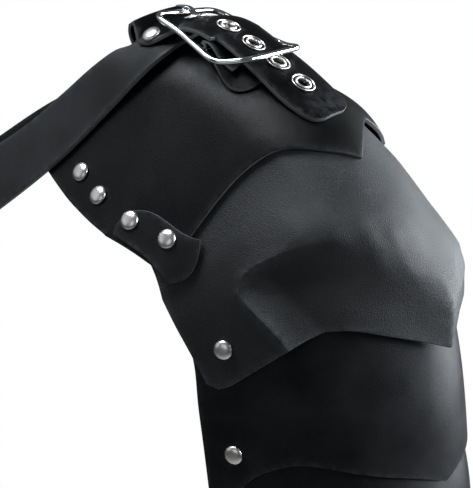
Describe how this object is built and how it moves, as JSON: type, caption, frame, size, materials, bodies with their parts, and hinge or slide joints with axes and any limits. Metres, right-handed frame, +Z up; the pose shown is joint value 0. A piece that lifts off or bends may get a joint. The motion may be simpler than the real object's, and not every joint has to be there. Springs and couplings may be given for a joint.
{
  "type": "pauldron",
  "caption": "Leather shoulder armour: a curved plate over overlapping arm lames, with riveted side tabs, a buckled top strap and a chest strap loop.",
  "frame": {"origin": "the underside of the shoulder plate on its midline, where it sits on top of the shoulder", "axes": "+Z up; +X outwards from the neck to the arm; -Y to the wearer's front"},
  "size_m": [0.4914, 0.2248, 0.3297],
  "materials": {
    "smooth_leather": "smooth black leather, semi-gloss, with paler cut edges",
    "pebbled_leather": "pebbled black leather, matt",
    "nickel": "nickel-plated, satin gloss",
    "chrome": "bright chrome plate"
  },
  "bodies": {
    "root": {"shoulder_plate": "smooth_leather", "tab_front": "smooth_leather", "tab_back": "smooth_leather", "lame_upper": "pebbled_leather", "lame_middle": "smooth_leather", "lame_lower": "smooth_leather", "chest_strap": "smooth_leather", "top_strap": "smooth_leather", "chape": "smooth_leather", "buckle_frame": "chrome", "buckle_prong": "chrome", "eyelet_1": "nickel", "eyelet_2": "nickel", "eyelet_3": "nickel", "eyelet_4": "nickel", "eyelet_5": "nickel", "rivet_plate_upper_front": "nickel", "rivet_plate_upper_back": "nickel", "rivet_plate_lower_front": "nickel", "rivet_plate_lower_back": "nickel", "rivet_tab_inner_front": "nickel", "rivet_tab_inner_back": "nickel", "rivet_tab_outer_front": "nickel", "rivet_tab_outer_back": "nickel", "rivet_lame_upper_front": "nickel", "rivet_lame_upper_back": "nickel", "rivet_lame_middle_front": "nickel", "rivet_lame_middle_back": "nickel", "rivet_fold_front": "nickel", "rivet_fold_back": "nickel"}
  },
  "joints": []
}
